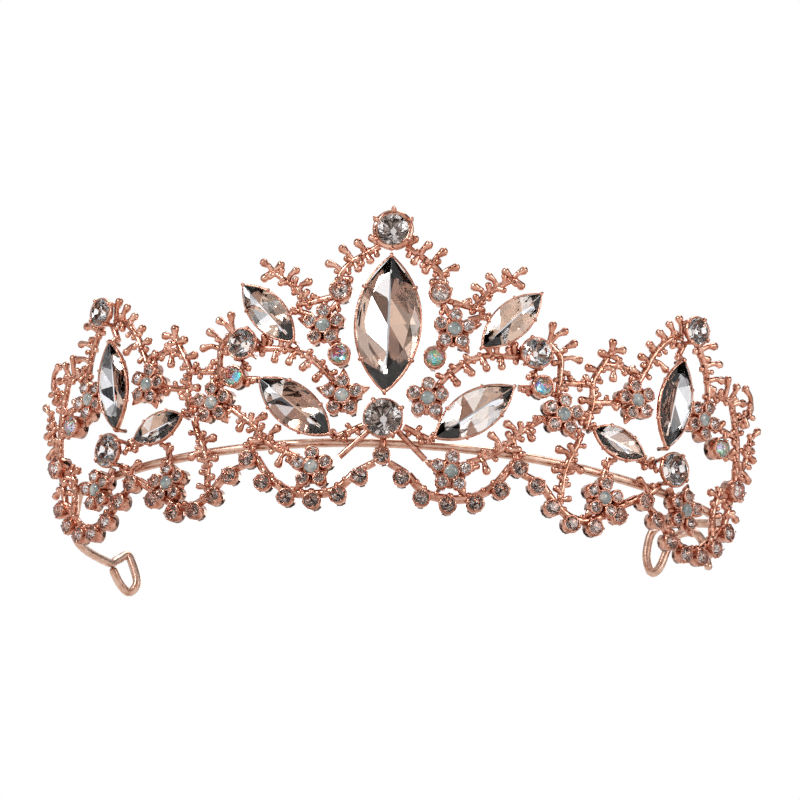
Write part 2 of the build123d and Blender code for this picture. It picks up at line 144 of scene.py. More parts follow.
def shade(tree, inputs):
    """Principled shader with the inputs given, linked to the material's output."""
    shader = add_node(tree, "ShaderNodeBsdfPrincipled", inputs)
    finish_material(tree, shader.outputs["BSDF"])


def noise(tree, millimetres, detail):
    """Noise over the object, as coarse as a length in millimetres."""
    place = add_node(tree, "ShaderNodeTexCoord").outputs["Object"]
    return add_node(tree, "ShaderNodeTexNoise", {
        "Vector": place, "Scale": 1000 / millimetres, "Detail": detail}).outputs["Fac"]


print("white in linear numbers:", linear("#FFFFFF"))

# %% [markdown]
# ## Rose-gold plating
# The castings are zinc alloy, tumbled and plated with rose gold. Tumbling leaves a soft, slightly
# lumpy surface, so the metal is bright but never a perfect mirror. A noise of a millimetre or two
# varies its roughness and colour, and a finer one gives the cast skin its faint grain.

# %% Rose-gold plated zinc alloy
CAST_LUMP = 1.6          # millimetres across a soft lump of the cast surface
CAST_GRAIN = 0.35        # millimetres across the fine grain, drawn coarser than the real one


def plated(name, stops, roughness, lump_bump):
    material, tree = new_material(name)
    lumps = noise(tree, CAST_LUMP, 2.0)
    rough = add_node(tree, "ShaderNodeMapRange", {
        "Value": lumps, "From Min": 0.3, "From Max": 0.7, "To Min": roughness[0], "To Max": roughness[1]})
    low = add_node(tree, "ShaderNodeBump", {"Height": lumps, "Strength": lump_bump, "Distance": 0.0004})
    high = add_node(tree, "ShaderNodeBump", {
        "Height": noise(tree, CAST_GRAIN, 3.0), "Strength": 0.12, "Distance": 0.0001,
        "Normal": low.outputs["Normal"]})
    shade(tree, {"Base Color": ramp(tree, lumps, stops), "Metallic": 1.0,
                 "Roughness": rough.outputs["Result"], "Normal": high.outputs["Normal"]})
    return material


PLATING_TONES = [(0.3, "#A86F59"), (0.5, "#C78F7A"), (0.7, "#E3B7A3")]
WIRE_TONES = [(0.3, "#C39A84"), (0.6, "#D9B9A8")]
ROSE_GOLD = plated("rose_gold_plated_zinc_alloy", PLATING_TONES, (0.1, 0.28), 0.5)
PALE_WIRE = plated("rose_gold_plated_wire", WIRE_TONES, (0.28, 0.42), 0.08)
print("metals:", ROSE_GOLD.name, PALE_WIRE.name)

# %% [markdown]
# ## Foiled crystal
# A cheap crystal is bright because its back is silvered. Light goes in through the clear crown,
# bounces off the foiled facets of the back and comes out again, so each facet shows another part
# of the room. The crown is clear glass and the back facets are mirror, each tinted with a tone of
# its own from white through grey to dark, pink and brown: painted reflections of the bright and
# dark parts of the room and of the rose-gold castings around the stone. On aurora-borealis stones
# the tones are the coating's own colours.


# %% Crystal, aurora-borealis crystal and opal glass
def crystal(name, film):
    material, tree = new_material(name)
    coating = {"Thin Film Thickness": 420.0, "Thin Film IOR": 2.2} if film else {}
    shade(tree, {"Base Color": linear("#FAFBFF"), "Roughness": 0.0, "IOR": 1.55,
                 "Transmission Weight": 1.0, **coating})
    return material


def foil(name, stops):
    material, tree = new_material(name)
    # Each facet's tone picks a ramp colour: painted reflection for clear crystals, the coating's own colours
    # for aurora-borealis ones.
    tone = add_node(tree, "ShaderNodeAttribute", attribute_name="facet_tone")
    shade(tree, {"Base Color": ramp(tree, tone.outputs["Fac"], stops, smooth=False),
                 "Metallic": 1.0, "Roughness": 0.06})
    return material


# Ramps of the clear crystals' foil: painted reflections. White and grey stand for bright parts of the room,
# dark grey for its dark parts, pink and brown for the rose-gold castings. The small stones' ramp is darker
# and browner: painted reflection of their cups, with painted shade.
LARGE_FOIL_PAINTED_REFLECTIONS = [(0.0, "#FFFFFF"), (0.24, "#E1E5EA"), (0.34, "#B4B4B4"), (0.44, "#626163"),
                    (0.5, "#F3E9E1"), (0.64, "#D9B8A2"), (0.82, "#A07B69")]
SMALL_FOIL_PAINTED_REFLECTIONS = [(0.0, "#FFFFFF"), (0.3, "#D0C9C4"), (0.48, "#9A8B82"), (0.64, "#6A5B54"),
                    (0.76, "#C9AFA1"), (0.92, "#3A3230")]
AURORA_TONES = [(0.0, "#E9F2FF"), (0.25, "#C9A2E8"), (0.42, "#7FC3EE"), (0.56, "#F2B7D2"),
                (0.72, "#A9E8C0"), (0.86, "#F4D38C")]
CRYSTAL = crystal("clear_crystal", film=False)
CRYSTAL_FOIL = foil("silver_foil_of_large_crystals", LARGE_FOIL_PAINTED_REFLECTIONS)
SMALL_FOIL = foil("silver_foil_of_small_crystals", SMALL_FOIL_PAINTED_REFLECTIONS)
AURORA = crystal("aurora_borealis_crystal", film=True)
AURORA_FOIL = foil("aurora_borealis_foil", AURORA_TONES)


OPAL_CLOUD = 1.8         # millimetres across a cloud in the glass
OPAL_TONES = [(0.32, "#6B7473"), (0.5, "#8A9291"), (0.62, "#A8A8A5"), (0.74, "#C6A794")]


def opal_glass():
    material, tree = new_material("opal_glass")
    tint = ramp(tree, noise(tree, OPAL_CLOUD, 2.0), OPAL_TONES)
    shade(tree, {"Base Color": tint, "Roughness": 0.12, "IOR": 1.46, "Subsurface Weight": 0.25,
                 "Subsurface Scale": 0.001, "Coat Weight": 0.6, "Coat Roughness": 0.03})
    return material


OPAL = opal_glass()
print("stones:", CRYSTAL.name, AURORA.name, OPAL.name)

# %% [markdown]
# ## Two geometry trees
# Most of a tiara is the same few shapes again and again: cups, stones, claws and buds. The first
# tree sets one pattern piece on every point of a cloud of places. The second draws a round bar
# along every line of a wire drawing, as thick as each point says. Both end in Realize Instances
# and Set Material, because an exported model keeps neither instances nor trees.


# %% Tree that sets a pattern piece on every place
def new_tree(name, inputs):
    """Empty geometry tree from geometry to geometry, with more inputs, and its input node."""
    tree = bpy.data.node_groups.new(name, "GeometryNodeTree")
    for title, kind in (("Geometry", "NodeSocketGeometry"), *inputs):
        tree.interface.new_socket(title, in_out="INPUT", socket_type=kind)
    tree.interface.new_socket("Geometry", in_out="OUTPUT", socket_type="NodeSocketGeometry")
    return tree, add_node(tree, "NodeGroupInput")


def read_attribute(tree, name, data_type):
    made = add_node(tree, "GeometryNodeInputNamedAttribute", {"Name": name}, data_type=data_type)
    return made.outputs["Attribute"]


def make_setting_tree():
    tree, given = new_tree("set_on_places", [
        ("Pattern", "NodeSocketObject"), ("Surface", "NodeSocketMaterial"), ("Back", "NodeSocketMaterial")])
    pattern = add_node(tree, "GeometryNodeObjectInfo", {"Object": given.outputs["Pattern"]})
    turn = read_attribute(tree, "turn", "FLOAT_VECTOR")
    rotation = add_node(tree, "FunctionNodeEulerToRotation", {"Euler": turn})
    points = add_node(tree, "GeometryNodeInstanceOnPoints", {
        "Points": given.outputs["Geometry"], "Instance": pattern.outputs["Geometry"],
        "Rotation": rotation.outputs["Rotation"], "Scale": read_attribute(tree, "size", "FLOAT")})
    real = add_node(tree, "GeometryNodeRealizeInstances", {"Geometry": points.outputs["Instances"]})
    front = add_node(tree, "GeometryNodeSetMaterial",
                     {"Geometry": real.outputs["Geometry"], "Material": given.outputs["Surface"]})
    behind = add_node(tree, "GeometryNodeSetMaterial", {
        "Geometry": front.outputs["Geometry"], "Material": given.outputs["Back"],
        "Selection": read_attribute(tree, "foiled", "BOOLEAN")})
    add_node(tree, "NodeGroupOutput", {"Geometry": behind.outputs["Geometry"]})
    return tree


# %% Tree that draws bars along lines
def make_bar_tree():
    tree, given = new_tree("bars_on_lines", [
        ("Sides", "NodeSocketInt"), ("Step", "NodeSocketFloat"), ("Surface", "NodeSocketMaterial")])
    line = add_node(tree, "GeometryNodeMeshToCurve", {"Mesh": given.outputs["Geometry"]})
    smooth = add_node(tree, "GeometryNodeCurveSplineType", {"Curve": line.outputs["Curve"]},
                      spline_type="CATMULL_ROM")
    finer = add_node(tree, "GeometryNodeResampleCurve",
                     {"Curve": smooth.outputs["Curve"], "Length": given.outputs["Step"]}, mode="LENGTH")
    ring = add_node(tree, "GeometryNodeCurvePrimitiveCircle",
                    {"Resolution": given.outputs["Sides"], "Radius": 1.0})
    bar = add_node(tree, "GeometryNodeCurveToMesh", {
        "Curve": finer.outputs["Curve"], "Profile Curve": ring.outputs["Curve"],
        "Scale": read_attribute(tree, "thick", "FLOAT"), "Fill Caps": True})
    shaded = add_node(tree, "GeometryNodeSetShadeSmooth",
                      {"Geometry": bar.outputs["Mesh"], "Shade Smooth": True})
    real = add_node(tree, "GeometryNodeRealizeInstances", {"Geometry": shaded.outputs["Geometry"]})
    coated = add_node(tree, "GeometryNodeSetMaterial",
                      {"Geometry": real.outputs["Geometry"], "Material": given.outputs["Surface"]})
    add_node(tree, "NodeGroupOutput", {"Geometry": coated.outputs["Geometry"]})
    return tree


SETTING_TREE = make_setting_tree()
BAR_TREE = make_bar_tree()
print("trees:", SETTING_TREE.name, BAR_TREE.name)


# %% Running a tree
def run_tree(name, tree, mesh, values):
    """Plain mesh that a tree makes of a mesh, with the tree's inputs set by name."""
    carrier = new_object(name + "_carrier", mesh)
    modifier = carrier.modifiers.new("made", "NODES")
    modifier.node_group = tree
    for socket in tree.interface.items_tree:
        if socket.in_out == "INPUT" and socket.name in values:
            modifier[socket.identifier] = values[socket.name]
    bpy.context.view_layer.update()
    evaluated = carrier.evaluated_get(bpy.context.evaluated_depsgraph_get())
    result = bpy.data.meshes.new_from_object(evaluated)
    carrier.modifiers.remove(modifier)
    bpy.data.objects.remove(carrier)
    return result


def set_pieces(name, pattern, places, surface=ROSE_GOLD, back=None):
    """Mesh of one pattern piece set on a list of (matrix, size)."""
    cloud = bpy.data.meshes.new(name + "_places")
    cloud.from_pydata([m.translation for m, _ in places], [], [])
    turns = cloud.attributes.new("turn", "FLOAT_VECTOR", "POINT")
    turns.data.foreach_set("vector", [v for m, _ in places for v in m.to_euler()])
    sizes = cloud.attributes.new("size", "FLOAT", "POINT")
    sizes.data.foreach_set("value", [size for _, size in places])
    values = {"Pattern": pattern, "Surface": surface, "Back": back or surface}
    return run_tree(name, SETTING_TREE, cloud, values)


def draw_bars(name, lines, surface=ROSE_GOLD, sides=10, step=0.45):
    """Mesh of round bars along lines, each a list of (point, radius in millimetres)."""
    points = [point for line in lines for point, _ in line]
    drawing = bpy.data.meshes.new(name + "_lines")
    edges, first = [], 0
    for line in lines:
        edges += [(first + i, first + i + 1) for i in range(len(line) - 1)]
        first += len(line)
    drawing.from_pydata(points, edges, [])
    thick = drawing.attributes.new("thick", "FLOAT", "POINT")
    thick.data.foreach_set("value", [radius * MM for line in lines for _, radius in line])
    return run_tree(name, BAR_TREE, drawing, {"Sides": sides, "Step": step * MM, "Surface": surface})


# %% [markdown]
# ## Pattern pieces
# A pattern piece is one small mesh in millimetre proportions, made once: a claw, a bud, a cup or a
# cut stone. It is never shown itself. Those that are set many times have few faces.


# %% Making a mesh
def mesh_of(name, points, faces, smooth=False):
    mesh = bpy.data.meshes.new(name)
    mesh.from_pydata([tuple(p) for p in points], [], faces)
    mesh.shade_smooth() if smooth else mesh.shade_flat()
    mesh.update()
    return mesh


def pattern_of(mesh):
    """Object that only serves as a pattern for a tree."""
    return bpy.data.objects.new("pattern_" + mesh.name, mesh)


def turned(outline, sides):
    """Points of an outline of (radius, height) turned round the axis, row by row."""
    return [(r * math.cos(2 * math.pi * k / sides), r * math.sin(2 * math.pi * k / sides), z)
            for r, z in outline for k in range(sides)]


def belt_faces(rows, sides, closed=False):
    """Faces between rows of points, with the last row joined to the first if closed."""
    count = rows * sides
    faces = []
    for row in range(rows if closed else rows - 1):
        for k in range(sides):
            a, b = row * sides + k, row * sides + (k + 1) % sides
            faces.append((a, b, (b + sides) % count, (a + sides) % count))
    return faces


def lathe(name, outline, sides):
    """Pattern of a closed turned shape, from an outline that starts and ends on the axis."""
    inner = [p for p in outline if p[0] > 0]
    points = turned(inner, sides)
    faces = belt_faces(len(inner), sides)
    bottom, top = len(points), len(points) + 1
    points += [(0, 0, outline[0][1]), (0, 0, outline[-1][1])]
    faces += [(bottom, (k + 1) % sides, k) for k in range(sides)]
    last = (len(inner) - 1) * sides
    faces += [(top, last + k, last + (k + 1) % sides) for k in range(sides)]
    return pattern_of(mesh_of(name, np.array(points) * MM, faces, True))


def pipe(points, radii, sides):
    """Closed bent bar through points, as (points, faces), in millimetres."""
    points = [Vector(p) for p in points]
    made = []
    for i, (point, radius) in enumerate(zip(points, radii)):
        ahead = (points[min(i + 1, len(points) - 1)] - points[max(i - 1, 0)]).normalized()
        across = (ahead.orthogonal() if abs(ahead.y) > 0.9 else ahead.cross(Vector((0, 1, 0)))).normalized()
        other = ahead.cross(across)
        for k in range(sides):
            angle = 2 * math.pi * k / sides
            made.append(point + across * radius * math.cos(angle) + other * radius * math.sin(angle))
    faces = belt_faces(len(points), sides)
    made += [points[0], points[-1]]
    last = (len(points) - 1) * sides
    faces += [(len(made) - 2, (k + 1) % sides, k) for k in range(sides)]
    faces += [(len(made) - 1, last + k, last + (k + 1) % sides) for k in range(sides)]
    return made, faces


def bent_pattern(name, points, radii, sides=8):
    made, faces = pipe(points, radii, sides)
    return pattern_of(mesh_of(name, [p * MM for p in made], faces, True))


# %% Buds, nodules, claws and cups
BUD = lathe("bud", [(0, -2.0), (0.52, -1.9), (0.6, -1.2), (0.82, -0.5), (0.95, 0), (0.82, 0.48),
                    (0.45, 0.8), (0, 0.88)], 10)
LEAFLET = lathe("leaflet", [(0, -0.3), (0.5, -0.1), (0.42, 0.5), (0.56, 1.0), (0.64, 1.4),
                            (0.42, 1.8), (0, 1.92)], 8)
LEAF = lathe("leaf", [(0, -0.8), (0.8, -0.5), (0.95, 0), (0.6, 0.7), (0.2, 1.35), (0, 1.5)], 8)
NODULE_RADIUS = 0.6
NODULE = lathe("nodule", [(0, -0.6), (0.45, -0.4), (NODULE_RADIUS, 0), (0.45, 0.4), (0, 0.6)], 7)
CLAW = bent_pattern("claw", [(0.1, 0, -0.9), (0.32, 0, -0.4), (0.38, 0, 0.2), (0.1, 0, 0.6), (-0.45, 0, 0.6)],
                    [0.3, 0.38, 0.4, 0.38, 0.24])
POST = bent_pattern("post_claw", [(-0.1, 0, -3.0), (0.1, 0, -1.2), (0.36, 0, 0.2), (0.1, 0, 0.6),
                                  (-0.45, 0, 0.6)], [0.5, 0.44, 0.4, 0.38, 0.24])
SPIKE = bent_pattern("spike", [(-0.1, 0, -2.6), (0.3, 0, -0.4), (0.75, 0, 0.5), (1.15, 0, 1.0)],
                     [0.5, 0.62, 0.5, 0.12], 6)


def cup_pattern(name, stone_radius, wall, depth, sides, claw_count, claw_size):
    """Pattern of an open cup for a small stone: a turned wall with a lip, and claws on the lip."""
    rim = stone_radius + wall
    outline = [(stone_radius * 0.3, -depth), (rim, -depth), (stone_radius + wall * 1.1, -depth * 0.4),
               (rim, 0.12), (stone_radius + wall * 0.35, 0.34), (stone_radius - 0.12, 0.22),
               (stone_radius * 0.55, -0.7)]
    points = [Vector(p) for p in turned(outline, sides)]
    faces = belt_faces(len(outline), sides, closed=True)
    for i in range(claw_count):
        turn = Matrix.Rotation(2 * math.pi * (i + 0.5) / claw_count, 4, "Z")
        more, more_faces = pipe([(stone_radius + wall * 0.7, 0, -0.6), (stone_radius + 0.05, 0, 0.42),
                                 (stone_radius - 0.45, 0, 0.5)],
                                [claw_size, claw_size * 1.05, claw_size * 0.6], 5)
        faces += [tuple(f + len(points) for f in face) for face in more_faces]
        points += [turn @ p for p in more]
    return pattern_of(mesh_of(name, [p * MM for p in points], faces, True))


print("patterns:", BUD.name, NODULE.name, CLAW.name, SPIKE.name)

# %% [markdown]
# ## Cutting a stone
# Every cut here has the same plan: a flat table, a row of star and kite facets, a girdle, and a
# foiled back. For a round stone the girdle is a circle, and for a marquise two arcs that meet in
# points. Each back facet is given a random tone that the foil's colour ramp reads. On a large
# marquise the tones of one half come from the ramp's pink end: a painted reflection of the
# castings around it.


# %% Cut stones
def girdle_point(length, width, share):
    """Point of a stone's outline at a share of its turn: a circle, or two arcs with two points."""
    if abs(length - width) < 1e-6:
        angle = 2 * math.pi * share
        return length / 2 * math.cos(angle), width / 2 * math.sin(angle)
    bow = (length ** 2 / 4 + width ** 2 / 4) / width
    half = math.asin(length / 2 / bow)
    sweep = half * (1 - 4 * (share % 0.5))
    x, y = bow * math.sin(sweep), bow * math.cos(sweep) - bow + width / 2
    return (x, y) if share % 1 < 0.5 else (-x, -y)


def cut_stone(name, length, width, mains, seed, crown, back, table=0.6, pink_reflection_side=0):
    """Pattern of a faceted stone that lies along x, with its girdle at zero.

    Mains is the number of kite facets. Crown and back are heights, as shares of the width.
    The side given last, 1 or -1 along y, is the half whose foil is tinted pink: a painted
    reflection of the castings around it.
    """
    dice = random.Random(seed)
    high, deep, belt = crown * width, back * width, 0.3
    points, faces = [], []

    def ring(count, offset, scale_x, scale_y, height):
        start = len(points)
        for k in range(count):
            x, y = girdle_point(length, width, (k + offset) / count)
            points.append((x * scale_x, y * scale_y, height))
        return [start + k for k in range(count)]

    flat_top = ring(mains, 0, table + 0.04, table, belt + high)
    stars = ring(mains, 0.5, (1 + table) / 2, (1 + table) / 2, belt + high * 0.6)
    upper = ring(mains * 2, 0, 1, 1, belt)
    lower = ring(mains * 2, 0, 1, 1, 0)
    faces.append(tuple(flat_top))
    for k in range(mains):
        after, before = (k + 1) % mains, (k - 1) % mains
        faces += [(flat_top[k], stars[k], flat_top[after]),
                  (flat_top[k], stars[before], upper[2 * k]),
                  (flat_top[k], upper[2 * k], stars[k]),
                  (stars[k], upper[2 * k], upper[2 * k + 1]),
                  (stars[k], upper[2 * k + 1], upper[(2 * k + 2) % (2 * mains)])]
    for k in range(2 * mains):
        after = (k + 1) % (2 * mains)
        faces.append((upper[k], lower[k], lower[after], upper[after]))
    crown_faces = len(faces)
    if length == width:
        belly = ring(mains, 0.5, 0.62, 0.62, -deep * 0.52)
        keel = ring(mains, 0, 0.2, 0.2, -deep)
    else:
        keel = ring(mains, 0, 0.7, 0.04, -deep)
    for k in range(mains):
        after = (k + 1) % mains
        near, between, far = lower[2 * k], lower[2 * k + 1], lower[(2 * k + 2) % (2 * mains)]
        if length == width:
            faces += [(belly[k], between, near), (belly[k], far, between), (belly[k], near, keel[k]),
                      (far, belly[k], keel[after]), (belly[k], keel[k], keel[after])]
        else:
            faces += [(near, far, between), (near, keel[k], keel[after]), (near, keel[after], far)]
    faces.append(tuple(reversed(keel)))
    mesh = mesh_of(name, np.array(points) * MM, faces)
    foiled = mesh.attributes.new("foiled", "BOOLEAN", "FACE")
    foiled.data.foreach_set("value", [i >= crown_faces for i in range(len(faces))])
    # Tones for the foil ramp. On clear crystals they pick painted reflections; on the side given last they
    # fall in the ramp's pink half, a painted reflection of the castings. Aurora-borealis stones read them as
    # the coating's colours.
    tones = []
    for face in mesh.polygons:
        half = 0.5 * dice.random()
        tones.append(half + (0.5 if face.center.y * pink_reflection_side > 0 else 0) if pink_reflection_side else dice.random())
    mesh.attributes.new("facet_tone", "FLOAT", "FACE").data.foreach_set("value", tones)
    return pattern_of(mesh)


print("stone outline, a quarter round:", girdle_point(20, 10, 0.25))

# %% [markdown]
# ## Finishing a piece
# Each finished piece is one object at the origin, with its place in its mesh. It rides on the
# tiara's single body, and the CAD pieces it stands for are hidden.


# %% Finishing a piece
pieces = {}


def finish_piece(name, meshes, replaced):
    """One object of several meshes that takes the place of the CAD nodes named."""
    objects = [new_object(name, mesh) for mesh in meshes]
    piece = objects[0]
    if len(objects) > 1:
        with bpy.context.temp_override(active_object=piece, selected_editable_objects=objects):
            bpy.ops.object.join()
    piece.name = name
    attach(piece, "root")
    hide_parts(*replaced)
    pieces[name] = piece


SIDES = (("right", 1), ("left", -1))


def facing(place, out, turn, sign):
    """Seat of a piece on the right, or its mirror image on the left."""
    angle = math.radians(turn if sign > 0 else 180 - turn)
    return seat(sign * place[0], place[1], out, angle)


# %% [markdown]
# ## The base wire
# One wire carries everything. It runs in an arc behind the castings, and its ends were bent by
# hand: one into an open hook and one into a loop, where hairpins hold the tiara.

# %% Base wire
WIRE_RADIUS, WIRE_UP, WIRE_OUT, WIRE_ALONG = 0.9, 14.3, -1.5, 72
LEFT_END = [(-65.8, 40, 8.4), (-61, 52, 8.3), (-59.3, 55, 10), (-57.6, 56.8, 11.9), (-56.2, 56.9, 9.6),
            (-55, 56.9, 5.6), (-56.5, 56.8, 3.5), (-58.4, 56, 5), (-59.9, 55, 7.5)]
RIGHT_END = [(66, 39, 16.6), (58.5, 46, 19), (53.1, 50, 19.2), (51.6, 50, 14), (52.2, 50, 10.4),
             (53.2, 50, 9.4), (54.6, 50, 11.1), (56, 50, 15.2), (57.6, 50.5, 18), (60.4, 50.5, 19),
             (62.8, 50.5, 17.5), (64.4, 50, 11.3)]
wire_line = [Vector(p) * MM + SHIFT for p in reversed(LEFT_END)]
wire_line += [spot(along, WIRE_UP, WIRE_OUT) for along in range(-WIRE_ALONG, WIRE_ALONG + 1, 4)]
wire_line += [Vector(p) * MM + SHIFT for p in RIGHT_END]
wire_tips = [(Matrix.Translation(wire_line[end]), WIRE_RADIUS / NODULE_RADIUS) for end in (0, -1)]
finish_piece("base_wire_bent", [
    draw_bars("base_wire", [[(p, WIRE_RADIUS) for p in wire_line]], PALE_WIRE, sides=16, step=0.5),
    set_pieces("base_wire_tips", NODULE, wire_tips, PALE_WIRE)], ["base_wire"])
print("base wire points:", len(wire_line))

# %% [markdown]
# ## Large stones in their settings
# A marquise sits in an open-backed bezel whose lip is rubbed over its girdle, with claws at the
# tips and along the sides. The bezel follows the stone's own outline, so it is a ring of outlines
# of growing size, joined row by row.


# %% Bezels
HIGH_GIRDLE = 2.6        # how far the girdle of a large stone stands out
BACK = -0.8              # where the castings' back lies
BEZEL_STEPS = 48
TIP_GROWTH = 1.35        # a bezel grows more at a marquise's points than at its sides


def bezel_mesh(name, length, width, wall, matrix, deep=1.0):
    """Ring with a rounded lip around a stone's outline."""
    profile = [(-0.3, -deep), (wall * 0.6 - 0.2, -deep), (wall, -deep * 0.35), (wall, 0.1),
               (wall * 0.6, 0.36), (wall * 0.1, 0.42), (-0.08, 0.36), (-0.12, 0.0)]
    points = []
    tip = TIP_GROWTH if length != width else 1.0
    for grow, height in profile:
        for k in range(BEZEL_STEPS):
            x, y = girdle_point(length + 2 * grow * tip, width + 2 * grow, k / BEZEL_STEPS)
            points.append(matrix @ (Vector((x, y, height)) * MM))
    mesh = mesh_of(name, points, belt_faces(len(profile), BEZEL_STEPS, closed=True), True)
    mesh.materials.append(ROSE_GOLD)
    return mesh


def outline_claws(name, length, width, shares, matrix, size=1.0, pattern=None):
    """Claws around a stone, each facing its middle."""
    places = []
    for share in shares:
        x, y = girdle_point(length, width, share)
        ahead = girdle_point(length, width, share + 0.01)
        angle = math.atan2(ahead[1] - y, ahead[0] - x) - math.pi / 2
        if share % 0.5 == 0 and length != width:
            angle = 0 if share % 1 == 0 else math.pi
        local = Matrix.Translation(Vector((x, y, 0)) * MM) @ Matrix.Rotation(angle, 4, "Z")
        places.append((matrix @ local, size))
    return set_pieces(name, pattern or CLAW, places)


def set_stone(name, cut, places, back=CRYSTAL_FOIL):
    return set_pieces(name, cut, [(matrix, 1.0) for matrix in places], CRYSTAL, back)


# %% Marquise stones
MARQUISE_MAINS = 8
MARQUISES = [            # name, length and width, place, turn in degrees
    ("upper_marquise", (16.4, 6.8), (21.9, 40.3), 49.2),
    ("lower_marquise", (18.8, 8.0), (16.6, 20.9), 39.3),
    ("tall_side_marquise", (18.6, 7.8), (55.8, 31.5), 87.0),
    ("small_side_marquise", (12.2, 5.8), (45.0, 20.2), -13.0),
]
CENTRE_SIZE, CENTRE_UP = (27.6, 12.8), 37.5
centre_seat = seat(0, CENTRE_UP, HIGH_GIRDLE, math.pi / 2)
# The centre stone's foil is tinted pink on its -1 side along y: a painted reflection of the castings.
centre_cut = cut_stone("centre_marquise_cut", *CENTRE_SIZE, MARQUISE_MAINS, 5, 0.09, 0.16, 0.7, pink_reflection_side=-1)
finish_piece("centre_marquise_crystal", [set_stone("centre_marquise", centre_cut, [centre_seat])],
             ["centre_marquise_stone"])
finish_piece("centre_marquise_bezel", [
    bezel_mesh("centre_bezel", *CENTRE_SIZE, 0.35, centre_seat),
    outline_claws("centre_posts", *CENTRE_SIZE, (0, 0.5), centre_seat, 1.0, POST),
    outline_claws("centre_claws", *CENTRE_SIZE, (0.13, 0.37, 0.63, 0.87), centre_seat, 1.0)],
    ["centre_marquise_setting"])
for name, size, place, turn in MARQUISES:
    seats = {side: facing(place, HIGH_GIRDLE, turn, sign) for side, sign in SIDES}
    cuts = []
    for side, sign in SIDES:
        # Each side stone's foil is tinted pink on one half: a painted reflection of the castings.
        cut = cut_stone(f"{name}_cut_{side}", *size, MARQUISE_MAINS, side + name, 0.1, 0.17, 0.66, sign)
        cuts.append(set_stone(name, cut, [seats[side]]))
    finish_piece(name + "_crystals", cuts, [name + "_stones"])
    for side, matrix in seats.items():
        finish_piece(f"{name}_bezel_{side}", [
            bezel_mesh(name, *size, 0.3, matrix),
            outline_claws(name + "_posts", *size, (0, 0.5), matrix, 0.9, POST),
            outline_claws(name + "_claws", *size, (0.15, 0.35, 0.65, 0.85), matrix, 0.8)],
            [f"{name}_setting_{side}"])
print("marquises:", 1 + 2 * len(MARQUISES))

# %% Round stones
ROUND_CUT = {"mains": 8, "crown": 0.16, "back": 0.4}
ROUNDS = [               # name, diameter, place, number of claws
    ("large_round", 6.0, (27.0, 34.6), 6),
    ("side_round", 6.6, (57.9, 18.4), 4),
    ("side_top", 5.6, (58.3, 47.8), 4),
]
MIDDLE_ROUNDS = [        # name, diameter, height, number of claws, their pattern, wall of the collet
    ("centre_round", 7.5, 18.4, 4, CLAW, 0.25),
    ("crown", 6.4, 56.8, 6, SPIKE, 0.9),
]
for name, size, place, count in ROUNDS:
    cut = cut_stone(name + "_cut", size, size, seed=3, **ROUND_CUT)
    seats = {side: facing(place, HIGH_GIRDLE, 22, sign) for side, sign in SIDES}
    finish_piece(name + "_crystals", [set_stone(name, cut, seats.values())],
                 [name + "_stones"])
    for side, matrix in seats.items():
        finish_piece(f"{name}_collet_{side}", [
            bezel_mesh(name, size, size, 0.3, matrix),
            outline_claws(name + "_claws", size, size, [(i + 0.5) / count for i in range(count)],
                          matrix, 0.95, POST)],
            [f"{name}_setting_{side}"])
for name, size, up, count, pattern, rim in MIDDLE_ROUNDS:
    cut = cut_stone(name + "_cut", size, size, seed=8, **ROUND_CUT)
    matrix = seat(0, up, HIGH_GIRDLE, math.radians(30))
    finish_piece(name + "_crystal", [set_stone(name, cut, [matrix], back=SMALL_FOIL)],
                 [name + "_stone"])
    finish_piece(name + "_collet", [
        bezel_mesh(name, size, size, rim, matrix, 2.4),
        outline_claws(name + "_claws", size, size, [i / count for i in range(count)],
                      matrix, 1.18, pattern)],
        [name + "_setting"])
print("large rounds:", len(MIDDLE_ROUNDS) + 2 * len(ROUNDS))

# %% [markdown]
# ## Flowers, cups and their small stones
# Each flower is five cups round an opal. Cups and stones are patterns, set on every place by the
# first tree: fewer than two hundred faces each, some 140 times.

# %% Flowers
# Places of the flowers on the right side, and the turn of each in degrees.
FLOWERS = [(11.9, 37.5, 90), (7.9, 23.1, 90), (33.6, 23.6, 90), (13.3, 8.8, 90), (43.9, 8.8, 90),
           (48.1, 30.1, 36), (62.9, 11.6, 90), (63.7, 31.0, 0)]
PETALS, PETAL_RING, PETAL_GIRDLE, PETAL_STONE = 5, 2.85, 1.8, 2.35
OPAL_SIZE, OPAL_SEAT = 3.0, 1.7
TIP_OUT, TIP_LEAN, TIP_SHARE = 1.35, 80, 0.25       # metal tips behind some of the petals
PETAL_CUP = cup_pattern("petal_cup", PETAL_STONE / 2, 0.3, PETAL_GIRDLE - BACK, 10, 3, 0.22)
OPAL_CUP = cup_pattern("opal_cup", OPAL_SIZE / 2, 0.25, OPAL_SEAT - BACK, 12, 4, 0.2)
DISC = lathe("flower_disc", [(0, -0.4), (2.6, -0.4), (3.1, 0), (2.6, 0.4), (0, 0.4)], 15)
OPAL_DOME = lathe("opal_dome", [(0, -0.3), (1.5, -0.3), (1.5, 0), (1.36, 0.38), (1.0, 0.68),
                                (0.5, 0.84), (0, 0.88)], 14)
PETAL_CUT = cut_stone("petal_cut", PETAL_STONE, PETAL_STONE, 4, 2, 0.2, 0.4)
petals, hearts, discs, tips = [], [], [], []
dice = random.Random(4)
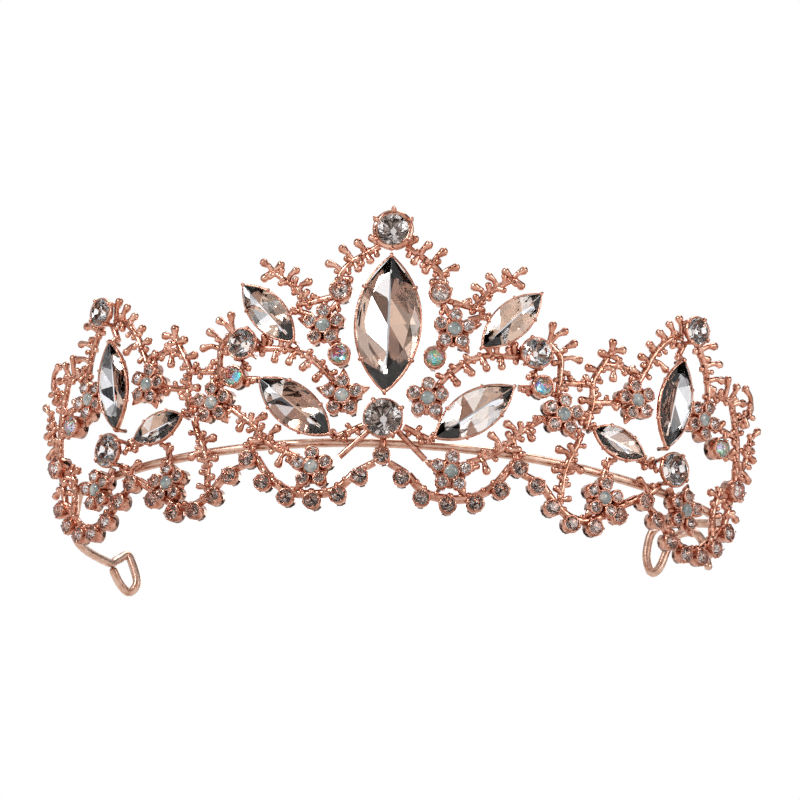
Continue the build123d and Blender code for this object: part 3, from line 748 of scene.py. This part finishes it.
for along, up, turn in FLOWERS:
    for _, sign in SIDES:
        middle = facing((along, up), 0, turn, sign)
        hearts.append((middle @ Matrix.Translation((0, 0, OPAL_SEAT * MM)), 1.0))
        discs.append((middle @ Matrix.Translation((0, 0, (BACK + 0.4) * MM)), 1.0))
        for k in range(PETALS):
            swing = Matrix.Rotation(2 * math.pi * k / PETALS, 4, "Z")
            shift = Matrix.Translation(Vector((PETAL_RING, 0, PETAL_GIRDLE)) * MM)
            tilt = Matrix.Rotation(math.radians(dice.uniform(-7, 7)), 4, "Y")
            petals.append((middle @ swing @ shift @ tilt, dice.uniform(0.96, 1.02)))
            if k == 1 + (sign > 0) * 2 or dice.random() < TIP_SHARE:
                reach = Matrix.Translation(Vector((PETAL_RING + TIP_OUT, 0, 0.7)) * MM)
                tips.append((middle @ swing @ reach @ Matrix.Rotation(math.radians(TIP_LEAN), 4, "Y"), 1.0))
finish_piece("flower_cups", [
    set_pieces("petal_cups", PETAL_CUP, petals),
    set_pieces("opal_cups", OPAL_CUP, hearts),
    set_pieces("petal_tips", LEAF, tips),
    set_pieces("flower_discs", DISC, discs)], ["flower_castings"])
finish_piece("petal_crystals", [set_pieces("petal_crystals", PETAL_CUT, petals, CRYSTAL, SMALL_FOIL)],
             ["petal_stones"])
finish_piece("opal_domes", [set_pieces("opal_domes", OPAL_DOME, hearts, OPAL)],
             ["opal_cabochons"])
print("flowers:", 2 * len(FLOWERS), "petals:", len(petals))

# %% Aurora-borealis and clear accents
AURORA_PLACES = [(8.7, 31.4), (29.0, 28.3), (69.0, 26.8)]
CLEAR_PLACES = [(8.9, 44.5), (75.4, 20.0)]
ACCENT, LOW_GIRDLE = 3.9, 2.1
ACCENT_CUP = cup_pattern("accent_cup", ACCENT / 2, 0.35, LOW_GIRDLE - BACK, 14, 4, 0.28)
ACCENT_CUT = cut_stone("accent_cut", ACCENT, ACCENT, 6, 9, 0.18, 0.4)
aurora_seats = [(facing(p, LOW_GIRDLE, 20, sign), 1.0) for p in AURORA_PLACES for _, sign in SIDES]
clear_seats = [(facing(p, LOW_GIRDLE, 50, sign), 1.0) for p in CLEAR_PLACES for _, sign in SIDES]
finish_piece("accent_cups", [set_pieces("accent_cups", ACCENT_CUP, aurora_seats + clear_seats)],
             ["accent_settings"])
finish_piece("aurora_crystals", [
    set_pieces("aurora_crystals", ACCENT_CUT, aurora_seats, AURORA, AURORA_FOIL)],
    ["aurora_stones"])
finish_piece("clear_accent_crystals", [
    set_pieces("clear_accents", ACCENT_CUT, clear_seats, CRYSTAL, SMALL_FOIL)],
    ["clear_accent_stones"])
print("accents:", len(aurora_seats), "aurora-borealis and", len(clear_seats), "clear")

# %% [markdown]
# ## Scallops
# The foot of the tiara is a row of hanging scallops. Each is a cast rail with a cup for every
# stone below it.

# %% Scallops
SCALLOPS = [             # name, centre of its curve, its cups, and a link to the scallop before
    ("first_scallop", (13.2, 13.0),
     [(4.0, 6.9), (8.0, 3.1), (13.1, 2.1), (18.4, 3.0), (23.1, 6.3), (26.3, 11.3)],
     [(1.4, 10.0), (4.6, 8.2)]),
    ("second_scallop", (40.2, 13.0),
     [(30.1, 8.3), (33.6, 4.6), (37.9, 2.2), (42.9, 2.6), (47.8, 6.2), (53.3, 10.6)],
     [(26.8, 10.6), (30.6, 9.4)]),
    ("third_scallop", (66.4, 13.5),
     [(56.6, 7.6), (60.6, 4.4), (64.8, 3.0), (69.2, 3.8), (72.9, 6.8), (75.6, 11.0)],
     [(54.0, 10.4), (57.4, 8.8)]),
]
RAIL_INSET, CUP_GIRDLE, SCALLOP_STONE = 1.5, 1.5, 3.1
SCALLOP_CUP = cup_pattern("scallop_cup", SCALLOP_STONE / 2, 0.26, CUP_GIRDLE - BACK, 12, 4, 0.27)
SCALLOP_CUT = cut_stone("scallop_cut", SCALLOP_STONE, SCALLOP_STONE, 5, 6, 0.2, 0.4)


def rail_line(cups, centre):
    """The cups' line, moved towards the centre of its curve."""
    line = []
    for along, up in cups:
        reach = math.dist((along, up), centre)
        line.append((along + (centre[0] - along) * RAIL_INSET / reach,
                     up + (centre[1] - up) * RAIL_INSET / reach))
    return line


def on_band(line, sign, radius):
    """A flat line as points on the band, with a radius at each."""
    radii = radius if isinstance(radius, (list, tuple)) else [radius] * len(line)
    return [(spot(sign * along, up), r) for (along, up), r in zip(line, radii)]


stone_seats = [(seat(0, 11.2, CUP_GIRDLE), 1.0)]
for name, centre, cups, link in SCALLOPS:
    for side, sign in SIDES:
        cup_seats = [(facing(cup, CUP_GIRDLE, 15 * i, sign), 1.0) for i, cup in enumerate(cups)]
        stone_seats += cup_seats
        rail = rail_line(cups, centre)
        lines = [on_band(rail, sign, 0.9), on_band(link, sign, 0.75)]
        dice = random.Random(name)
        knots = []
        for along, up in rail[:-1]:
            place = sign * (along + dice.uniform(-0.6, 0.6)), up + dice.uniform(-0.2, 0.8)
            knots.append((seat(*place, 0.4), dice.uniform(1.0, 1.7)))
        for (a, u), (b, v) in zip(rail, rail[1:]):
            knots.append((seat(sign * (a + b) / 2, (u + v) / 2 + 0.3, 0.5), dice.uniform(0.8, 1.3)))
        finish_piece(f"{name}_rail_{side}", [
            draw_bars(name, lines), set_pieces(name + "_cups", SCALLOP_CUP, cup_seats),
            set_pieces(name + "_knots", NODULE, knots)],
            [f"{name}_{side}"])
centre_lines = [on_band([(0, 15.2), (0, 11.6)], 1, 0.7)]
centre_lines += [on_band([(2.8, 16.4), (5.4, 13.8), (8.3, 11.0)], sign, 0.62) for _, sign in SIDES]
finish_piece("centre_stem_cast", [
    draw_bars("centre_stem", centre_lines),
    set_pieces("centre_cup", SCALLOP_CUP, [stone_seats[0]])], ["centre_stem"])
finish_piece("scallop_crystals", [
    set_pieces("scallop_crystals", SCALLOP_CUT, stone_seats, CRYSTAL, SMALL_FOIL)],
    ["scallop_stones"])
print("scallop stones:", len(stone_seats))

# %% [markdown]
# ## Sprays
# The sprays are cast like fern or coral: a stem, short twigs with rounded buds, and leaflets and
# nodules along the stem. A twig leaves the stem where it is nearest to its bud and bends a little
# upwards, so it is a line of three points, thinnest in the middle.

# %% Sprays
# Each spray has stems, each a list of places, and the places of its buds.
SPRAYS = {
    "crest_spray": ([
        [(2.4, 54), (5.1, 52.2), (7.7, 50.3), (9.3, 48), (9.6, 45.6)], [(9.4, 42.8), (11, 40.6)],
        [(10.6, 43.6), (15.6, 42.4)]
    ], [
        (3.8, 55.6), (6.3, 54.6), (9, 53.4), (11.4, 50.4), (3.9, 50.9), (6, 49.2), (7.5, 46.9)]),
    "upper_spray": ([
        [(14.9, 41.6), (17.1, 45.4), (19.9, 47.9), (21.8, 49.4)], [(14.5, 40), (18.4, 41.6)]
    ], [
        (23.6, 51.5), (20.3, 50.7), (17.4, 49.3), (23.4, 48.2), (15, 46.8)]),
    "middle_spray": ([
        [(26.6, 34.2), (22.1, 33.7), (18.2, 33.2), (14.7, 31.5), (11.4, 28.4), (9.3, 25.6)],
        [(8.7, 31.4), (11.9, 36.6)]
    ], [
        (21.2, 31.2), (18.4, 30.5), (15.7, 29.2), (13.2, 26.8), (19.8, 35.6), (23.2, 36)]),
    "lower_spray": ([
        [(16.4, 11.2), (21.4, 13.7), (23.9, 16.1), (25.4, 18.2), (30.5, 22.6)],
        [(24.6, 16.9), (26.3, 12.2)], [(3.8, 17.3), (9.4, 14.9)]
    ], [
        (23.2, 19.9), (20.4, 17.2), (25.8, 15), (20.1, 9.9), (28.2, 17.8)]),
    "round_spray": ([
        [(29.8, 37.6), (32.1, 35.6), (32.5, 33.3), (32.6, 30.3), (32.4, 26.8)],
        [(24.8, 27.6), (28.6, 28.2)], [(27.2, 31.6), (28.4, 29.2)]
    ], [
        (30, 41.3), (32.4, 40.6), (34.4, 38.5), (35.8, 35.4)]),
    "boundary_spray": ([
        [(38.9, 21.8), (39.7, 27.6), (39.2, 31.4), (40, 34), (41, 36), (42, 38.4)],
        [(39.3, 31.3), (36.1, 30.7), (32.6, 30.2)], [(39.6, 27.6), (45.6, 29.2)],
        [(41.2, 35.9), (45.2, 36.3), (48.8, 34.8)],
        [(35.6, 6), (35.5, 10), (36, 14), (37.3, 17.5), (38.4, 21)], [(36.4, 23.8), (39.2, 24.2)],
        [(44, 12.6), (44.6, 17.4)]
    ], [
        (42, 40.6), (40, 37.9), (44.2, 39.6), (37.8, 34.3), (43, 33.4), (37.2, 27.4), (33.4, 12.4),
        (33.8, 16.6), (38.6, 13.4)]),
    "side_inner_spray": ([
        [(56.6, 46.6), (53.8, 44.6), (51.2, 40.8), (50, 37.4), (48.8, 34.4), (48.2, 32.4)],
        [(57.6, 45.4), (56.4, 41.6)], [(56.6, 15), (54.2, 12)], [(51, 18.8), (55, 18.6)],
        [(59.2, 15.4), (60.6, 13.6)]
    ], [
        (55.2, 49.6), (53.2, 47.8), (51.4, 45.4), (49.6, 42.4), (48.2, 39.4), (53.8, 38.4), (46.6, 36.2),
        (51.6, 14.6)]),
    "side_outer_spray": ([
        [(60.4, 46.4), (62.6, 43.2), (64.4, 39.6), (65.2, 36.4), (65, 33.6)],
        [(75.2, 11.6), (76, 17.6), (76.2, 23), (75.2, 29), (73.4, 34), (71.2, 38.2)],
        [(66.8, 31.4), (74.6, 31)], [(70.6, 26.8), (75.6, 26.8)],
        [(65.4, 37.2), (69.4, 37.6), (71.6, 37.4)], [(72.4, 9.4), (71.6, 14), (72.4, 19.4)],
        [(76.2, 23), (78.4, 27.4), (78.8, 32.6)], [(73.4, 34), (76.4, 36.4), (77.4, 38.6)]
    ], [
        (61.8, 49.2), (64.2, 47), (66.2, 43.8), (67.4, 40.8), (71.6, 41), (74, 38.4), (76, 34.6),
        (77.6, 30.2), (78, 14.8), (79.6, 23.8), (80, 28.4), (79.8, 34.6), (78.2, 19.4), (74.2, 41.6),
        (74, 16.4), (69.4, 17.6), (69, 41.6)]),
}
BUD_OUT = 0.6            # buds stand out in front of their stems
LEAFLET_STEP = 1.6
NODULE_STEP = 1.7


def nearest_on(place, path):
    """Nearest place on a flat path."""
    found = []
    for (ax, ay), (bx, by) in zip(path, path[1:]):
        run = (bx - ax) ** 2 + (by - ay) ** 2
        share = min(1.0, max(0.0, ((place[0] - ax) * (bx - ax) + (place[1] - ay) * (by - ay)) / run))
        near = (ax + share * (bx - ax), ay + share * (by - ay))
        found.append((math.dist(place, near), near))
    return min(found)


def along_axis(direction, point):
    """Matrix at a point with its z axis along a direction."""
    return Matrix.Translation(point) @ direction.to_track_quat("Z", "Y").to_matrix().to_4x4()


def leaflet_places(path, sign, dice):
    """Places of short leaflets, in turn on both sides of a stem."""
    found, side = [], 1
    for (ax, ay), (bx, by) in zip(path, path[1:]):
        run = math.dist((ax, ay), (bx, by))
        count = max(1, round(run / LEAFLET_STEP))
        for k in range(count):
            side = -side
            share = (k + 0.5) / count
            swing = math.atan2(by - ay, bx - ax) + side * math.radians(dice.uniform(50, 75))
            root = (ax + share * (bx - ax), ay + share * (by - ay))
            start = spot(sign * root[0], root[1], 0.2)
            tip = spot(sign * (root[0] + math.cos(swing)), root[1] + math.sin(swing),
                       0.2 + dice.uniform(0, 0.5))
            found.append((along_axis(tip - start, start), dice.uniform(0.9, 1.2)))
    return found


def spray_meshes(name, stems, buds, sign, dice):
    """Stems and twigs, buds, leaflets and nodules of one spray."""
    lines, bud_places, nodules, leaflets = [], [], [], []
    for path in stems:
        lines.append(on_band(path, sign, [0.78] + [0.74] * (len(path) - 2) + [0.66]))
        leaflets += leaflet_places(path, sign, dice)
        for (ax, ay), (bx, by) in zip(path, path[1:]):
            run = math.dist((ax, ay), (bx, by))
            count = max(1, int(run / NODULE_STEP))
            for k in range(count):
                share = (k + dice.uniform(0.3, 0.7)) / count
                side = dice.choice((-0.5, 0.5))
                x = ax + share * (bx - ax) - side * (by - ay) / run
                y = ay + share * (by - ay) + side * (bx - ax) / run
                place = spot(sign * x, y, dice.uniform(0, 0.5))
                nodules.append((Matrix.Translation(place), dice.uniform(0.8, 1.15)))
    for place in buds:
        distance, root = min(nearest_on(place, path) for path in stems)
        middle = ((place[0] + root[0]) / 2, (place[1] + root[1]) / 2 + 0.12 * distance)
        line = [(spot(sign * root[0], root[1]), 0.62), (spot(sign * middle[0], middle[1], BUD_OUT), 0.54),
                (spot(sign * place[0], place[1], BUD_OUT), 0.6)]
        lines.append(line)
        bud_places.append((along_axis(line[2][0] - line[1][0], line[2][0]), dice.uniform(0.9, 1.0)))
    return [draw_bars(name, lines, sides=8), set_pieces(name + "_buds", BUD, bud_places),
            set_pieces(name + "_leaflets", LEAFLET, leaflets),
            set_pieces(name + "_nodules", NODULE, nodules)]


for name, (stems, buds) in SPRAYS.items():
    for side, sign in SIDES:
        dice = random.Random(name)
        finish_piece(f"{name}_cast_{side}", spray_meshes(name, stems, buds, sign, dice),
                     [f"{name}_{side}"])
print("sprays:", 2 * len(SPRAYS))

# %% [markdown]
# ## Studio
# A pale floor under the tiara, and soft light from large panels. The view is from a little below,
# as a tiara is seen on a raised stand, so the floor lets a view from underneath pass through it.

# %% Floor
FLOOR_HALF, FLOOR_TOP = 1.5, -0.0002
corners = [(x * FLOOR_HALF, y * FLOOR_HALF, FLOOR_TOP) for x, y in ((-1, -1), (1, -1), (1, 1), (-1, 1))]
floor_mesh = mesh_of("floor", corners, [(0, 1, 2, 3)])
floor = new_object("floor", floor_mesh)
floor_material, tree = new_material("pale_studio_floor")
white = add_node(tree, "ShaderNodeBsdfDiffuse", {"Color": linear("#F4F2EF")})
through = add_node(tree, "ShaderNodeBsdfTransparent")
under = add_node(tree, "ShaderNodeNewGeometry")
either = add_node(tree, "ShaderNodeMixShader", {"Fac": under.outputs["Backfacing"]})
tree.links.new(white.outputs["BSDF"], either.inputs[1])
tree.links.new(through.outputs["BSDF"], either.inputs[2])
finish_material(tree, either.outputs["Shader"])
floor_mesh.materials.append(floor_material)
print("floor:", 2 * FLOOR_HALF, "m square")

# %% World and lights
world = bpy.data.worlds.new("studio")
bpy.context.scene.world = world
world.use_nodes = True
tree = world.node_tree
tree.nodes.clear()
direction = add_node(tree, "ShaderNodeTexCoord").outputs["Generated"]
patches = add_node(tree, "ShaderNodeTexNoise", {"Vector": direction, "Scale": 1.9, "Detail": 1.5})
METAL_ROOM = [(0.4, "#141110"), (0.48, "#5A5350"), (0.54, "#E4E2E2"), (0.6, "#FFFFFF")]
STONE_ROOM = [(0.28, "#3A393A"), (0.34, "#A3A09D"), (0.4, "#F4F4F6"), (0.6, "#FFFFFF")]
metal_room = ramp(tree, patches.outputs["Fac"], METAL_ROOM)
stone_room = ramp(tree, patches.outputs["Fac"], STONE_ROOM)
light_path = add_node(tree, "ShaderNodeLightPath")
room = add_node(tree, "ShaderNodeMix", {"Factor": light_path.outputs["Is Transmission Ray"]},
                data_type="RGBA")
MIX_COLOUR_A, MIX_COLOUR_B, MIX_COLOUR_RESULT = 6, 7, 2      # sockets by number, as their names repeat
tree.links.new(metal_room, room.inputs[MIX_COLOUR_A])
tree.links.new(stone_room, room.inputs[MIX_COLOUR_B])
studio_light = add_node(tree, "ShaderNodeBackground",
                        {"Color": room.outputs[MIX_COLOUR_RESULT], "Strength": 1.15})
backdrop = add_node(tree, "ShaderNodeBackground", {"Color": (1, 1, 1, 1), "Strength": 1.0})
mixed = add_node(tree, "ShaderNodeMixShader", {"Fac": light_path.outputs["Is Camera Ray"]})
tree.links.new(studio_light.outputs["Background"], mixed.inputs[1])
tree.links.new(backdrop.outputs["Background"], mixed.inputs[2])
add_node(tree, "ShaderNodeOutputWorld", {"Surface": mixed.outputs["Shader"]})


TARGET = (0, 0, 0.03)


def panel(name, place, width, height, watts):
    """Soft light panel that faces the tiara and isn't seen by the camera."""
    data = bpy.data.lights.new(name, "AREA")
    data.shape = "RECTANGLE"
    data.size, data.size_y, data.energy = width, height, watts
    lamp = new_object(name, data)
    lamp.location = place
    lamp.rotation_euler = (Vector(TARGET) - Vector(place)).to_track_quat("-Z", "Y").to_euler()
    lamp.visible_camera = False


panel("key", (-0.55, -0.75, 0.45), 0.3, 0.25, 5)
panel("fill", (0.75, -0.6, 0.15), 0.3, 0.6, 2.6)
panel("top", (0.1, 0.1, 0.9), 0.6, 0.4, 4)
panel("front_low", (0.1, -0.9, -0.25), 0.5, 0.16, 1.8)
panel("back", (0.1, 0.9, 0.35), 0.9, 0.3, 3)
print("panels:", len(bpy.data.lights))

# %% Camera
CAMERA_PLACE = Vector((61.7, -690.2, -286.8)) * MM + SHIFT
CAMERA_AHEAD = Vector((-0.0823, 0.9229, 0.3762))
VIEW_SHIFT_RIGHT, VIEW_SHIFT_UP = 0.0032, 0.0363     # the object lies low in the view
ROLL = 0.0692
FOCAL_LENGTH, SENSOR = 173.1, 36.0
right = CAMERA_AHEAD.cross(Vector((0, 0, 1))).normalized()
upward = right.cross(CAMERA_AHEAD)
ahead = (CAMERA_AHEAD + right * VIEW_SHIFT_RIGHT + upward * VIEW_SHIFT_UP).normalized()
rolled = right * math.cos(ROLL) + upward * math.sin(ROLL)
rolled = (rolled - ahead * rolled.dot(ahead)).normalized()
camera = new_object("camera", bpy.data.cameras.new("camera"))
camera.data.lens, camera.data.sensor_width = FOCAL_LENGTH, SENSOR
camera.data.clip_start = 0.01
axes = Matrix((rolled, rolled.cross(ahead), -ahead)).transposed().to_4x4()
camera.matrix_world = Matrix.Translation(CAMERA_PLACE) @ axes
bpy.context.scene.camera = camera
bpy.context.scene.view_settings.view_transform = "Standard"
print("camera at", tuple(round(v, 3) for v in CAMERA_PLACE))

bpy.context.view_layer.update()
triangles = sum(len(face.vertices) - 2 for piece in pieces.values() for face in piece.data.polygons)
print("pieces:", len(pieces), "triangles:", triangles)
